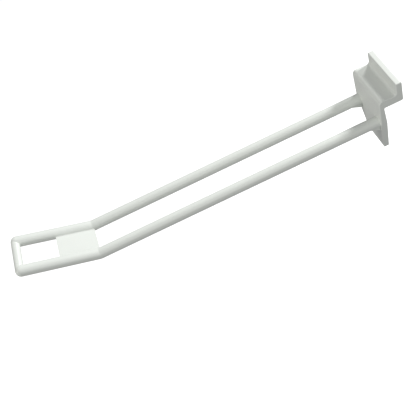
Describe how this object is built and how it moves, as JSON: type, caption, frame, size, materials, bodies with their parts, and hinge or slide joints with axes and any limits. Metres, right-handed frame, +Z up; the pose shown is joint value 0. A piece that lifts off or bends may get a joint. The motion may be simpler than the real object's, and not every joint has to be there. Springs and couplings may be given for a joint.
{
  "type": "slatwall hook",
  "caption": "White plastic slatwall hook: a clip plate with an upright tongue, and two round arms running forward to a loop turned up at the end.",
  "frame": {"origin": "midway between the two arms, level with their axes, in the plane of the wall's face", "axes": "-Y forward along the arms, away from the wall; +Y into the wall; +Z up; X across, left to right"},
  "size_m": [0.0294, 0.2131, 0.0463],
  "materials": {
    "plastic": "as moulded, satin to semi-gloss, white with a faint green-grey cast"
  },
  "bodies": {
    "root": {"hook": "plastic"}
  },
  "joints": []
}
